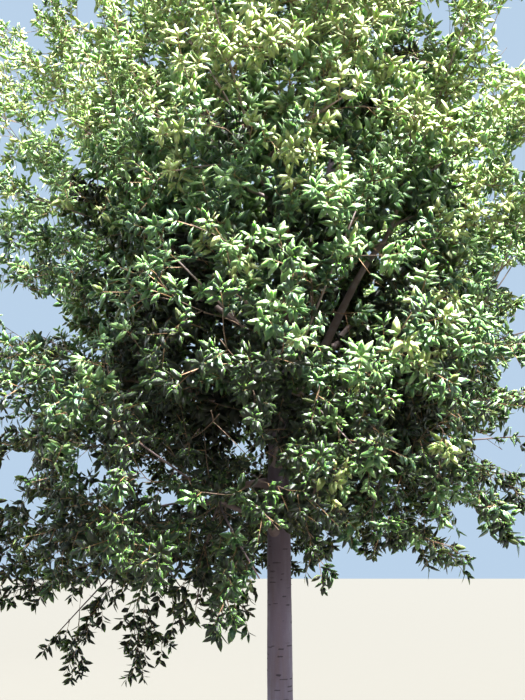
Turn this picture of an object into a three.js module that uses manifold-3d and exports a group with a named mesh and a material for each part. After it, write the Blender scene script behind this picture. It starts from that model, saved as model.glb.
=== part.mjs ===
// Young evergreen oak with a straight bare stem and a dense rounded crown.
// Millimetres, Z up. The origin is the middle of the flat cut under the stem, at ground level.
// The crown is tiers of foliage masses. Each mass keeps to its own space and hangs on one bough.

import * as THREE from "three";
import { mergeVertices } from "three/addons/utils/BufferGeometryUtils.js";
import Module from "manifold-3d";

const wasm = await Module();
wasm.setup();

// Stem
const STEM_HEIGHT = 4950;
const STEM_RADIUS = 66.5;
const STEM_TAPER = 1.3 / 1000;
const CROWN_FOOT = 1700;
const TIP_RADIUS = 13;
const FLARE_SHARE = 0.34;
const FLARE_HEIGHT = 120;
const FLARE_LOBES = 5;
const FLARE_LOBE_SHARE = 0.07;
const STEM_SIDES = 15;
const STEM_RINGS = 12;
const FOOT_RING_SPACING = 0.4;

// The leader leans to the right between these heights
const LEAN = 450;
const LEAN_START = 2300;
const LEAN_END = 4800;
const SWAY = 40;

// Crown: an egg round this heart, with these half widths
const HEART = new THREE.Vector3(40, 0, 3700);
const CROWN_HALF_WIDTH = 1750;
const CROWN_HALF_HEIGHT = 2500;

// Tiers from below: the masses stand on a ring round the stem, turned on by equal angles.
// ring is the ring's radius, slope lifts it to the right and to the back, lobe is the radius of one
// mass's space, root is where the first bough leaves the stem and climb is the step up to each next one.
const TIERS = [
  {
    name: "skirt", count: 5, turn: -116, height: 2140, ring: 880, lobe: 790,
    slope: [330, 110], root: 1760, climb: 66,
  },
  {
    name: "middle", count: 6, turn: -90, height: 2790, ring: 1000, lobe: 830,
    slope: [180, 260], root: 2140, climb: 52,
  },
  {
    name: "upper", count: 6, turn: -40, height: 3680, ring: 1110, lobe: 910,
    slope: [60, 0], root: 2470, climb: 110,
  },
  {
    name: "high", count: 5, turn: -80, height: 4600, ring: 1010, lobe: 950,
    slope: [0, 0], root: 3330, climb: 130,
  },
];
const TOP_HEIGHT = 5230;
const TOP_LOBE = 930;
const TOP_SHIFT_SHARE = 0.5;
const TIER_SHIFT_SHARE = 0.15;
const PLACE_PLAY = 60;

// Boughs: radius at foot and tip, and where along the way to its mass a bough ends
const BOUGH_RADII = {
  skirt: [21, 11],
  middle: [27, 13],
  upper: [31, 15],
  high: [19, 11],
};
const BOUGH_END_SHARE = 0.66;
const BOUGH_START_RISE = 0.55;
const BOUGH_END_BEND = 0.3;
const BOUGH_HANDLES = [0.35, 0.3];
const BOUGH_SIDES = 5;
const BOUGH_RINGS = 4;
const JOINT_GAP = 0.3;
const FACET_SPARE = 1.1;

// Twigs
const FIRST_DIRECTIONS = 7;
const LEAST_TIPS = 4;
const MOST_TIPS = 5;
const TIP_SHARE = 0.72;
const TIP_INSET = 60;
const TIP_LEAST_OUTWARD = -0.35;
const TIP_PLAY = 40;
const FORK_SLOPE = 0.7;
const FIRST_FORK_SHARE = 0.12;
const LAST_FORK_SHARE = 0.8;
const TWIG_TIP_RADIUS = 10;
const TWIG_FOOT_RADIUS = 13;
const TWIG_SIDES = 3;
const STUB_LENGTH = 60;
const STUB_SHARE = 0.95;

// Leaves: each stands for a spray of small ones. They stand in a spiral along a shoot.
const LEAVES_PER_SHOOT = 6;
const FIRST_LEAF_SHARE = 0.22;
const LEAF_LENGTH = 480;
const LEAF_WIDTH = 280;
const LEAF_THICKNESS = 18;
const LEAF_WAIST = 0.42;
const LEAF_SPREAD = 62;
const LEAF_DROOP = 0.2;
const LEAF_SINK = 4;
const LEAF_TRIES = 9;
const TRY_TURN = 31;
const LAST_LEAF_TRY_LEAN = 12;
const LIMB_CLEARANCE = 12;
const SPACE_MARGIN = 3;

// Seeds: one for each tier's places, and one for each mass
const SEED = 4107;
const TIER_SEEDS = 100;

const WORLD_UP = new THREE.Vector3(0, 0, 1);
const GOLDEN_ANGLE = Math.PI * (3 - Math.sqrt(5));

// Even random numbers from 0 to 1, the same for the same seed
function dice(seed) {
  let state = seed >>> 0;
  return () => {
    state = (state + 0x6d2b79f5) >>> 0;
    let mixed = Math.imul(state ^ (state >>> 15), state | 1);
    mixed = (mixed + Math.imul(mixed ^ (mixed >>> 7), mixed | 61)) ^ mixed;
    return ((mixed ^ (mixed >>> 14)) >>> 0) / 4294967296;
  };
}

// A closed solid from one of three's geometries
function solidFrom(geometry) {
  geometry.deleteAttribute("normal");
  geometry.deleteAttribute("uv");
  const merged = mergeVertices(geometry);
  const vertProperties = new Float32Array(merged.getAttribute("position").array);
  const triVerts = new Uint32Array(merged.getIndex().array);
  return new wasm.Manifold(new wasm.Mesh({ numProp: 3, vertProperties, triVerts }));
}

// A named mesh from the largest body of a solid: loose scraps and sealed hollows are left behind
function meshFrom(solid, name, look) {
  const bodies = solid.decompose();
  const largest = bodies.reduce((best, body) => (body.volume() > best.volume() ? body : best));
  const { vertProperties, triVerts } = largest.getMesh();
  const geometry = new THREE.BufferGeometry();
  geometry.setAttribute("position", new THREE.BufferAttribute(vertProperties, 3));
  geometry.setIndex(new THREE.BufferAttribute(triVerts, 1));
  geometry.computeVertexNormals();
  const mesh = new THREE.Mesh(geometry, new THREE.MeshStandardMaterial(look));
  mesh.name = name;
  return mesh;
}

// Middle of the stem at a height
function stemMiddle(height) {
  const share = THREE.MathUtils.smoothstep(height, LEAN_START, LEAN_END);
  const sway = SWAY * Math.sin((Math.PI * height) / LEAN_START) * share;
  return new THREE.Vector3(LEAN * share, -SWAY * share + sway, height);
}

// Radius of the stem at a height: nearly even below the crown, then down to the tip
function stemRadius(height) {
  const bare = STEM_RADIUS - STEM_TAPER * Math.min(height, CROWN_FOOT);
  const share = Math.max(0, (height - CROWN_FOOT) / (STEM_HEIGHT - CROWN_FOOT));
  return THREE.MathUtils.lerp(bare, TIP_RADIUS, share);
}

// The stem, with its lobed root flare; extra makes it fatter by that much all round
function stemSolid(extra) {
  const geometry = new THREE.CylinderGeometry(1, 1, 1, STEM_SIDES, STEM_RINGS);
  const place = geometry.getAttribute("position");
  for (let i = 0; i < place.count; i += 1) {
    const across = Math.hypot(place.getX(i), place.getZ(i));
    const angle = Math.atan2(place.getZ(i), place.getX(i));
    const along = place.getY(i) + 0.5;
    const height = STEM_HEIGHT * along * THREE.MathUtils.lerp(FOOT_RING_SPACING, 1, along);
    const flare = Math.exp(-height / FLARE_HEIGHT);
    const lobes = 1 + FLARE_LOBE_SHARE * flare * Math.cos(FLARE_LOBES * angle);
    const radius = stemRadius(height) * (1 + FLARE_SHARE * flare) * lobes + extra;
    const middle = stemMiddle(height);
    const x = middle.x + across * radius * Math.cos(angle);
    const y = middle.y - across * radius * Math.sin(angle);
    place.setXYZ(i, x, y, height);
  }
  return solidFrom(geometry);
}

// A round limb along a curve, tapering from the first radius to the last
function limbSolid(curve, [footRadius, tipRadius], extra) {
  const geometry = new THREE.CylinderGeometry(1, 1, 1, BOUGH_SIDES, BOUGH_RINGS);
  const place = geometry.getAttribute("position");
  const frames = curve.computeFrenetFrames(BOUGH_RINGS, false);
  for (let i = 0; i < place.count; i += 1) {
    const ring = Math.round((place.getY(i) + 0.5) * BOUGH_RINGS);
    const radius = THREE.MathUtils.lerp(footRadius, tipRadius, ring / BOUGH_RINGS) + extra;
    const point = curve.getPointAt(ring / BOUGH_RINGS);
    point.addScaledVector(frames.normals[ring], place.getX(i) * radius);
    point.addScaledVector(frames.binormals[ring], -place.getZ(i) * radius);
    place.setXYZ(i, point.x, point.y, point.z);
  }
  return solidFrom(geometry);
}

// Outward normal of the crown's egg at a point
function outwardAt(point) {
  const away = point.clone().sub(HEART);
  away.x /= CROWN_HALF_WIDTH ** 2;
  away.y /= CROWN_HALF_WIDTH ** 2;
  away.z /= CROWN_HALF_HEIGHT ** 2;
  return away.normalize();
}

// The masses of one tier, each with the bough that carries it
function tierMasses(tier, tierIndex) {
  const masses = [];
  const roll = dice(SEED + tierIndex);
  for (let i = 0; i < tier.count; i += 1) {
    const angle = THREE.MathUtils.degToRad(tier.turn + (360 / tier.count) * i);
    const outward = new THREE.Vector3(Math.cos(angle), Math.sin(angle), 0);
    const centre = outward.clone().multiplyScalar(tier.ring + PLACE_PLAY * (2 * roll() - 1));
    centre.x += stemMiddle(tier.height).x * TIER_SHIFT_SHARE;
    const lift = tier.slope[0] * outward.x + tier.slope[1] * outward.y;
    centre.z = tier.height + lift + PLACE_PLAY * (2 * roll() - 1);
    const foot = stemMiddle(tier.root + tier.climb * i);
    masses.push({
      name: `${tier.name}_${i + 1}`,
      centre,
      lobe: tier.lobe,
      bough: boughCurve(foot, centre),
      radii: BOUGH_RADII[tier.name],
      seed: SEED + TIER_SEEDS * (tierIndex + 1) + i,
    });
  }
  return masses;
}

// A bough rises from its foot and bends over towards the mass that it carries
function boughCurve(foot, centre) {
  const way = centre.clone().sub(foot);
  const reach = Math.hypot(way.x, way.y);
  const outward = new THREE.Vector3(way.x / reach, way.y / reach, 0);
  const end = foot.clone().addScaledVector(way, BOUGH_END_SHARE);
  const last = end.clone().sub(foot).normalize().lerp(outward, BOUGH_END_BEND).normalize();
  const length = end.distanceTo(foot);
  const first = outward.clone().addScaledVector(WORLD_UP, BOUGH_START_RISE).normalize();
  const firstHandle = foot.clone().addScaledVector(first, length * BOUGH_HANDLES[0]);
  const lastHandle = end.clone().addScaledVector(last, -length * BOUGH_HANDLES[1]);
  return new THREE.CubicBezierCurve3(foot, firstHandle, lastHandle, end);
}

// The mass that stands on the stem's own tip
function topMass() {
  const foot = stemMiddle(STEM_HEIGHT);
  const centre = new THREE.Vector3(foot.x * TOP_SHIFT_SHARE, foot.y, TOP_HEIGHT);
  const seed = SEED + TIER_SEEDS * (TIERS.length + 1);
  return { name: "top", centre, lobe: TOP_LOBE, bough: null, radii: [0, TIP_RADIUS], seed };
}

// True where a point lies in a mass's own space, by at least a margin
function inSpace(mass, masses, point, margin) {
  if (point.distanceTo(mass.centre) > mass.lobe - margin) {
    return false;
  }
  return masses.every((other) => {
    if (other === mass) {
      return true;
    }
    const way = other.centre.clone().sub(mass.centre);
    const border = (way.length() * mass.lobe) / (mass.lobe + other.lobe);
    return point.clone().sub(mass.centre).dot(way.normalize()) < border - margin;
  });
}

// Where a mass's twigs would end with so many even directions round its middle: those that face
// inwards or leave its space are skipped
function tipsAmong(directions, mass, masses) {
  const tips = [];
  const roll = dice(mass.seed);
  const outward = outwardAt(mass.centre);
  for (let i = 0; i < directions; i += 1) {
    const z = 1 - (2 * i + 1) / directions;
    const across = Math.sqrt(1 - z * z);
    const angle = GOLDEN_ANGLE * i + mass.seed;
    const direction = new THREE.Vector3(across * Math.cos(angle), across * Math.sin(angle), z);
    const tip = mass.centre.clone().addScaledVector(direction, mass.lobe * TIP_SHARE);
    tip.x += TIP_PLAY * (2 * roll() - 1);
    tip.y += TIP_PLAY * (2 * roll() - 1);
    tip.z += TIP_PLAY * (2 * roll() - 1);
    const facesOut = direction.dot(outward) > TIP_LEAST_OUTWARD;
    if (facesOut && inSpace(mass, masses, tip, TIP_INSET)) {
      tips.push(tip);
    }
  }
  return tips;
}

// The fewest directions that give a mass enough twigs, and no more than the most that it takes
function twigTips(mass, masses) {
  let directions = FIRST_DIRECTIONS;
  let tips = tipsAmong(directions, mass, masses);
  while (tips.length < LEAST_TIPS) {
    directions += 1;
    tips = tipsAmong(directions, mass, masses);
  }
  return tips.slice(-MOST_TIPS);
}

// The branching rule: the leading twig runs on from the stem to the tip that lies furthest out,
// and each other twig forks off it on the way, so far before its own tip as it lies beside it
function branch(from, tips, heading) {
  const reach = (tip) => tip.clone().sub(from).dot(heading);
  const sorted = [...tips].sort((a, b) => reach(b) - reach(a));
  const [lead, ...others] = sorted;
  const way = lead.clone().sub(from);
  const length = way.length();
  way.normalize();
  const forks = others.map((tip) => {
    const along = tip.clone().sub(from).dot(way);
    const beside = Math.sqrt(Math.max(0, tip.distanceToSquared(from) - along * along));
    const run = THREE.MathUtils.clamp(
      along - FORK_SLOPE * beside,
      FIRST_FORK_SHARE * length,
      LAST_FORK_SHARE * length,
    );
    return { from: from.clone().addScaledVector(way, run), to: tip };
  });
  return [{ from, to: lead }, ...forks];
}

// A three-sided twig between two points
function twigSolid(from, to, startRadius, endRadius) {
  const way = to.clone().sub(from);
  const corners = [];
  for (let i = 0; i < TWIG_SIDES; i += 1) {
    const angle = (2 * Math.PI * i) / TWIG_SIDES;
    corners.push(new THREE.Vector2(Math.cos(angle), Math.sin(angle)));
  }
  const geometry = new THREE.ExtrudeGeometry(new THREE.Shape(corners), {
    depth: way.length(),
    bevelEnabled: false,
  });
  const place = geometry.getAttribute("position");
  for (let i = 0; i < place.count; i += 1) {
    const radius = place.getZ(i) > 0 ? endRadius : startRadius;
    place.setXY(i, place.getX(i) * radius, place.getY(i) * radius);
  }
  geometry.applyQuaternion(new THREE.Quaternion().setFromUnitVectors(WORLD_UP, way.normalize()));
  geometry.translate(from.x, from.y, from.z);
  return solidFrom(geometry);
}

// Corners of a leaf: root, two edges, two faces and tip
function leafGeometry(root, along, facing) {
  const geometry = new THREE.OctahedronGeometry(1);
  const place = geometry.getAttribute("position");
  const side = along.clone().cross(facing);
  for (let i = 0; i < place.count; i += 1) {
    const station = Math.round(place.getY(i));
    const run = station < 0 ? -LEAF_SINK : station > 0 ? LEAF_LENGTH : LEAF_LENGTH * LEAF_WAIST;
    const corner = root.clone().addScaledVector(along, run);
    corner.addScaledVector(side, (place.getX(i) * LEAF_WIDTH) / 2);
    corner.addScaledVector(facing, (place.getZ(i) * LEAF_THICKNESS) / 2);
    place.setXYZ(i, corner.x, corner.y, corner.z);
  }
  return geometry;
}

// True where every corner of a shape lies in its mass's space
function staysInside(geometry, mass, masses) {
  const place = geometry.getAttribute("position");
  const corner = new THREE.Vector3();
  for (let i = 0; i < place.count; i += 1) {
    corner.fromBufferAttribute(place, i);
    if (!inSpace(mass, masses, corner, SPACE_MARGIN)) {
      return false;
    }
  }
  return true;
}

// Direction of one leaf, at an angle round its shoot and leaning away from it
function leafDirection(shootWay, around, spread) {
  const first = shootWay.clone().cross(WORLD_UP).normalize();
  const second = shootWay.clone().cross(first);
  const along = shootWay.clone().multiplyScalar(Math.cos(spread));
  along.addScaledVector(first, Math.sin(spread) * Math.cos(around));
  along.addScaledVector(second, Math.sin(spread) * Math.sin(around));
  along.addScaledVector(WORLD_UP, -LEAF_DROOP);
  return along.normalize();
}

// The leaves of a shoot: turned on until each one stays in the mass's space and touches nothing
function shootLeaves(shoot, mass, masses, inTheWay, roll) {
  const leaves = [];
  const way = shoot.to.clone().sub(shoot.from).normalize();
  const start = roll() * 2 * Math.PI;
  for (let i = 0; i < LEAVES_PER_SHOOT; i += 1) {
    const isLast = i === LEAVES_PER_SHOOT - 1;
    const share = THREE.MathUtils.lerp(FIRST_LEAF_SHARE, 1, i / (LEAVES_PER_SHOOT - 1));
    const root = shoot.from.clone().lerp(shoot.to, share);
    const outward = outwardAt(root);
    for (let attempt = 0; attempt < LEAF_TRIES; attempt += 1) {
      const turned = THREE.MathUtils.degToRad(TRY_TURN * attempt * (attempt % 2 ? 1 : -1));
      const spread = THREE.MathUtils.degToRad(isLast ? LAST_LEAF_TRY_LEAN * attempt : LEAF_SPREAD);
      const along = leafDirection(way, start + GOLDEN_ANGLE * i + turned, spread);
      const facing = outward.clone().addScaledVector(along, -outward.dot(along)).normalize();
      const geometry = leafGeometry(root, along, facing);
      if (!staysInside(geometry, mass, masses)) {
        continue;
      }
      const leaf = solidFrom(geometry);
      const others = wasm.Manifold.union([inTheWay, ...leaves]);
      if (others.intersect(leaf).isEmpty()) {
        leaves.push(leaf);
        break;
      }
    }
  }
  return leaves;
}

// One mass: a stem from the bough's end, twigs that fork from it, and leaves on each of them
function massSolid(mass, masses, limbs) {
  const end = mass.bough ? mass.bough.getPoint(1) : stemMiddle(STEM_HEIGHT);
  const heading = mass.bough ? mass.bough.getTangent(1) : WORLD_UP;
  const start = end.clone().addScaledVector(heading, JOINT_GAP);
  const stub = start.clone().addScaledVector(heading, STUB_LENGTH);
  const stubRadius = mass.radii[1] * STUB_SHARE;
  const stubEnd = stub.clone().addScaledVector(heading, stubRadius);
  const wood = [twigSolid(start, stubEnd, stubRadius, stubRadius)];
  const shoots = [];
  branch(stub, twigTips(mass, masses), heading).forEach((twig) => {
    const solid = twigSolid(twig.from, twig.to, TWIG_FOOT_RADIUS, TWIG_TIP_RADIUS);
    if (limbs.intersect(solid).isEmpty()) {
      shoots.push({ ...twig, index: wood.length });
      wood.push(solid);
    }
  });
  const roll = dice(mass.seed + 1);
  const leaves = [];
  shoots.forEach((shoot) => {
    const otherWood = wood.filter((_, i) => i !== shoot.index);
    const inTheWay = wasm.Manifold.union([limbs, ...otherWood, ...leaves]);
    leaves.push(...shootLeaves(shoot, mass, masses, inTheWay, roll));
  });
  return wasm.Manifold.union([...wood, ...leaves]);
}

// Finishes
const BARK = { color: 0x8d8179, roughness: 0.85, metalness: 0 };
const LIMB_BARK = { color: 0x7a6552, roughness: 0.85, metalness: 0 };
const LEAF_GREENS = [0x4f6b34, 0x5d7a3a, 0x46603a, 0x6b8440];

// The tree: its stem, its boughs and its masses
const tree = new THREE.Group();
const masses = TIERS.flatMap(tierMasses);
masses.push(topMass());

const fatStem = stemSolid(JOINT_GAP * FACET_SPARE);
tree.add(meshFrom(stemSolid(0), "trunk", BARK));

const clearOf = [stemSolid(LIMB_CLEARANCE)];
masses.forEach((mass) => {
  if (mass.bough) {
    const bough = limbSolid(mass.bough, mass.radii, 0).subtract(fatStem);
    tree.add(meshFrom(bough, `bough_${mass.name}`, LIMB_BARK));
    clearOf.push(limbSolid(mass.bough, mass.radii, LIMB_CLEARANCE));
  }
});
const limbs = wasm.Manifold.union(clearOf);

masses.forEach((mass, i) => {
  const look = { color: LEAF_GREENS[i % LEAF_GREENS.length], roughness: 0.5, metalness: 0 };
  tree.add(meshFrom(massSolid(mass, masses, limbs), `foliage_${mass.name}`, look));
});

export default tree;
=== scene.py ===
"""A young evergreen oak: smooth grey-brown stem, boughs in tiers and a dense crown of leathery leaves.

Metres, Z up. The origin is the middle of the stem's flat cut, at ground level. The stem, the boughs and
the places of the foliage masses follow the frame's own rule, and every mass grows on from its bough by
that rule: a leading twig, twigs that fork from it, fine twigs that fork from those, and leafy shoots.
"""

import functools
import math
from collections import namedtuple

import bpy
import numpy as np
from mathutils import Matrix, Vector, noise


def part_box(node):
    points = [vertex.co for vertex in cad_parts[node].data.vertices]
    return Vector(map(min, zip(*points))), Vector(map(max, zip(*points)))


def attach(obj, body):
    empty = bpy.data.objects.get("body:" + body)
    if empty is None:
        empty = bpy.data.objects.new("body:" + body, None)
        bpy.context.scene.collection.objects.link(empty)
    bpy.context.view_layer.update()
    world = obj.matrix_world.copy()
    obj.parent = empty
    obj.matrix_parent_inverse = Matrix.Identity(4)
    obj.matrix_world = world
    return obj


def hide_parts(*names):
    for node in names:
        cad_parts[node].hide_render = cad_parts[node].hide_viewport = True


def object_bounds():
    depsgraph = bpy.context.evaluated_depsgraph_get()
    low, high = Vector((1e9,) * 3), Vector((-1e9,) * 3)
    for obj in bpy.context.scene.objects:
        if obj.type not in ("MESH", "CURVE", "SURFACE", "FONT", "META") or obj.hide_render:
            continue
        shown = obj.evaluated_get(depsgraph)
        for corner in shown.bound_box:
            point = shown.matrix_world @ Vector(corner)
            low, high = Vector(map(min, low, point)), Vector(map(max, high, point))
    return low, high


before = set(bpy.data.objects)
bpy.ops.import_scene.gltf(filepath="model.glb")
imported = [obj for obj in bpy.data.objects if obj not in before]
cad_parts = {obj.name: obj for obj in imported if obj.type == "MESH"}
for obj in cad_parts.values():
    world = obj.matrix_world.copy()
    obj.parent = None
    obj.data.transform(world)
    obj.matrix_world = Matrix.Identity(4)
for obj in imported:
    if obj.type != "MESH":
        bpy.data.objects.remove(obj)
CAD_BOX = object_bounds()
STEM_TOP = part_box("trunk")[1].z
BODY = "root"

bl_info = {
    "name": "Evergreen oak",
    "version": (1, 0, 0),
    "blender": (4, 5, 0),
    "location": "3D View > Sidebar > Oak",
    "description": "Grows bark, boughs, twigs and leaves on the frame of a young evergreen oak",
    "category": "Add Mesh",
}

# The stem's rule
STEM_TAPER = 0.0013
CROWN_FOOT = 1.7
FLARE_SHARE = 0.34
FLARE_HEIGHT = 0.12
FLARE_LOBES = 5
FLARE_LOBE_SHARE = 0.07
LEAN = 0.45
LEAN_START = 2.3
LEAN_END = 4.8
SWAY = 0.04

# The stem's rings of corners: so close together up to a little past the crown's foot, then so many
RING_STEP = 0.007
FINE_RINGS_PAST = 0.1
UPPER_RINGS = 60

# The bark's swellings, ripples and flutes: noise steps from the stem's middle out, and for each metre up,
# and how far each moves the bark. The collars under the boughs are shares of a bough's radius.
RELIEF = ((1.4, 2.1, 0.0022), (2.2, 34, 0.0006), (4.5, 1.3, 0.0011))
STEM_COLLAR_SHARE = 0.35
STEM_COLLAR_REACH = 2.0

# The bark's dark level dashes: they crowd low down, and each is sunk a little with a raised lip
DASH_LOWEST = 0.04
DASH_RISE = 4.0
DASH_CROWDING = 1.25
DASH_HALF_WIDTHS = (0.006, 0.026)
DASH_HALF_HEIGHTS = (0.0022, 0.0045)
DASH_DEPTHS = (0.55, 1.0)
DASH_FADE = 1.6
DASH_REACH = 3
DASH_LIP = 0.0009
DASH_SINK = 0.0006

# The crown: an egg round this heart, with these half widths
HEART = np.array((0.04, 0.0, 3.7))
CROWN_HALVES = np.array((1.75, 1.75, 2.5))

# Tiers from below, of count masses each. turn is the first mass's direction, in degrees round from the
# right. ring is the radius of the ring that the masses stand on, slope lifts it to the right and to the
# back, lobe is the radius of one mass's space, root is where the first bough leaves the stem and climb is
# the step up to each next one. radii are a bough's at its foot and its tip. lift turns the fine twigs up,
# or down where it is below zero, and inner says how far towards the crown's heart a fine twig may face,
# from 1 for none to -1 for all.
Tier = namedtuple("Tier", "name count turn height ring slope lobe root climb radii lift inner")
TIERS = (
    Tier("skirt", 5, -116, 2.14, 0.88, (0.33, 0.11), 0.79, 1.76, 0.066, (0.021, 0.011), -0.42, -0.8),
    Tier("middle", 6, -90, 2.79, 1.00, (0.18, 0.26), 0.83, 2.14, 0.052, (0.027, 0.013), -0.08, -0.9),
    Tier("upper", 6, -40, 3.68, 1.11, (0.06, 0.0), 0.91, 2.47, 0.110, (0.031, 0.015), 0.15, -0.9),
    Tier("high", 5, -80, 4.60, 1.01, (0.0, 0.0), 0.95, 3.33, 0.130, (0.019, 0.011), 0.28, -0.9),
)
TOP_TIER = Tier("top", 1, 0, 5.23, 0.0, (0.0, 0.0), 0.93, STEM_TOP, 0.0, (0.0, 0.013), 0.35, -0.9)
TOP_SHIFT_SHARE = 0.5
TIER_SHIFT_SHARE = 0.15
PLACE_PLAY = 0.06

# Boughs, and the waves in their bark
BOUGH_END_SHARE = 0.66
BOUGH_START_RISE = 0.55
BOUGH_END_BEND = 0.3
BOUGH_HANDLES = (0.35, 0.3)
BOUGH_STEPS = 28
BOUGH_AXIS_POINTS = 240
BOUGH_WAVES_PER_METRE = 28
BOUGH_WAVE_SHARE = 0.10

# Corners nearer than this are one, and edges that bend less than this look smooth
MERGE_DISTANCE = 0.00001
SMOOTH_ANGLE = math.radians(50)

# Leading twigs and the first forks
FIRST_DIRECTIONS = 7
LEAST_TIPS = 4
MOST_TIPS = 5
TIP_SHARE = 0.72
TIP_INSET = 0.06
TIP_LEAST_OUTWARD = -0.35
TIP_PLAY = 0.04
FORK_SLOPE = 0.7
FIRST_FORK_SHARE = 0.12
LAST_FORK_SHARE = 0.8
JOINT_GAP = 0.0003
STUB_LENGTH = 0.06
FIRST_ROOT_DEPTH = 0.02
FIRST_POINTS = 9
FIRST_TAPER = 0.8
FIRST_BEND = 0.3
FIRST_RADIUS_SHARE = 0.82
FIRST_SIDES = 8

# Fine twigs: layers by how far below the surface of a mass's space their tips lie, with how many even
# directions each layer tries. At so many points along it a fine twig must keep clear of the crown's gaps.
FINE_LAYERS = ((0.56, 12), (0.38, 24), (0.23, 44), (0.10, 92))
FINE_PLAY = 0.07
FINE_SIDE_SPARE = 0.05
FINE_POINTS = 5
FINE_BEND = 0.34
FINE_LIFT = 0.4
FINE_STRAIGHTNESS = 0.35
FINE_RADIUS_SHARE = 0.85
FINE_SIDES = 3
FINE_SEED = 50
GAP_CHECK_POINTS = 13

# How far past each side of the frame's box a leaf or twig may reach, as a share of that side
BOX_SPARE_SHARE = 0.018

# Shoots stand along the fine twigs, and wider apart along the first ones
SHOOT_SPACING = 0.040
INNER_SHOOT_SPACING = 0.065
SHOOT_FIRST_SHARE = 0.22
SHOOT_SPREAD = math.radians(52)
SHOOT_END_SPREAD = 0.15
SHOOT_LENGTHS = (0.05, 0.12)
SHOOT_OUTWARD = 0.35
SHOOT_LIFT = 0.6
SHOOT_BEND = 0.35
SHOOT_SPACE_SPARE = 0.01
SHOOT_SIDE_SPARE = 0.075
SHOOT_SEED = 70

# Leaves along a shoot: they crowd towards its end, and lean off it by fewer degrees there. A leaf faces so
# far along its shoot, up and out of the crown.
FIRST_LEAF_SHARE = 0.2
LEAF_CROWDING = 0.5
LEAF_PLACE_PLAY = 0.03
LEAF_TURN_PLAY = 0.35
LEAF_SPREADS = (88, 52)
LEAF_SPREAD_PLAY = 16
LEAF_DROOPS = (-0.15, 0.35)
LEAF_LIFT = 0.4
LEAF_FACING = (0.25, 0.35, 0.8)
LEAF_FACING_PLAY = 0.45
LEAF_SPACE_SPARE = 0.04
LEAF_SIDE_SPARE = 0.125

# Leaf sizes, as shares of a middling leaf's: for one shoot, for one leaf, and from a shoot's foot to its tip.
# Up to the first of the inner depths the leaves are larger and fewer, and from the second on as outside.
SHOOT_LEAF_SIZES = (0.82, 1.16)
LEAF_SIZES = (0.78, 1.12)
LEAF_SIZES_ALONG = (1.06, 0.82)
LEAF_WIDTHS = (0.85, 1.12)
INNER_DEPTHS = (0.4, 0.8)
INNER_LEAF_SIZE = 2.2
INNER_LEAF_SHARE = 0.6

# A leaf's corners, along its length and across in shares of its half width: root, right edge twice, tip,
# left edge twice. Above, it arches from end to end, and below its halves meet in a keel.
LEAF_ALONG = np.array((0.0, 0.32, 0.72, 1.0, 0.72, 0.32))
LEAF_ACROSS = np.array((0.0, -1.0, -0.68, 0.0, 0.68, 1.0))
LEAF_ROOT = 0
LEAF_TIP = 3
LEAF_TOP = [(0, 1, 5), (1, 2, 4), (1, 4, 5), (2, 3, 4)]
LEAF_UNDERSIDE = [(0, 2, 1), (0, 3, 2), (0, 4, 3), (0, 5, 4)]
LEAF_TRIANGLES = np.array(LEAF_TOP + LEAF_UNDERSIDE)

# The leaves' tints from dark to light, above and from below, and how much painted light each next one asks
# for
Tint = namedtuple("Tint", "name roughness coat")
TOP_TINTS = (
    Tint("shade", 0.5, 0.3),
    Tint("deep", 0.45, 0.5),
    Tint("blue", 0.45, 0.35),
    Tint("middle", 0.45, 0.35),
    Tint("fresh", 0.45, 0.35),
    Tint("young", 0.5, 0.3),
)
UNDERSIDE_TINTS = (
    Tint("umber", 0.6, 0.0),
    Tint("olive", 0.6, 0.0),
    Tint("sage", 0.6, 0.0),
    Tint("pale", 0.6, 0.0),
)
TOP_LIGHTS = (0.2, 0.36, 0.52, 0.68, 0.86)
UNDERSIDE_LIGHTS = (0.22, 0.44, 0.7)
TINT_PLAY = 0.17

# The leaves' wax, and how far red, green and blue light go in a leaf, as shares of its light depth
LEAF_COAT_ROUGHNESS = 0.4
LEAF_LIGHT_REACH = (0.65, 1.0, 0.3)

# A spray's painted light grows with its height, with how far it faces the key and with its depth from the
# heart out
LIGHT_RANGE = (-0.03, 1.5)
LIGHT_HEIGHTS = (2.0, 4.4)
LIGHT_HEIGHT_SHARE = 0.6
LIGHT_DEPTHS = (0.5, 0.95)
HIGH_LIGHT_SHARE = 0.75

# Hollows between clumps of leaves, where only the shaded leaves deeper in the crown stand. On the
# photographed side they lie where the photograph shows them, and elsewhere at random.
HOLLOWS_PER_METRE = 2.3
HOLLOW_LEAST = -0.2
HOLLOW_DEPTH = 0.77

# Under the hem's height the crown hangs in strands: between them it opens over the hem's depth
HEM_HEIGHT = 1.74
HEM_DEPTH = 0.24
STRANDS_PER_METRE = 4.6
STRAND_SHIFT = 137.0
STRAND_LEAST = 0.08

# Seeds: one for each tier's places, and one for each mass
SEED = 4107
TIER_SEEDS = 100

# The dice of the frame's rule: their largest number and their step
WORD = 0xFFFFFFFF
DICE_STEP = 0x6D2B79F5

# The turn from one direction of a spiral to the next, straight up, and how upright a steep direction is
GOLDEN_ANGLE = math.pi * (3 - math.sqrt(5))
UP = np.array((0.0, 0.0, 1.0))
STEEP = 0.9

# The least length and the least distance before the camera that a sum divides by
LEAST_LENGTH = 1e-9
LEAST_DEPTH = 0.01

# The photograph's frame, and places in it as across, down and radius in pixels. Their edges are ragged,
# with bumps this many pixels wide.
PHOTO_SIZE = (525, 700)
EDGE_PIXELS = 7

# The crown's gaps, which one sees through
CROWN_GAPS = (
    (85, 8, 9), (18, 10, 13), (518, 22, 18), (514, 40, 10), (516, 55, 12), (523, 160, 9),
    (515, 280, 15), (22, 306, 17), (42, 318, 12), (522, 322, 12), (514, 376, 12), (520, 422, 10),
    (486, 450, 12), (84, 460, 7), (18, 462, 13), (510, 464, 12), (167, 500, 6), (466, 518, 10),
)
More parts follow.
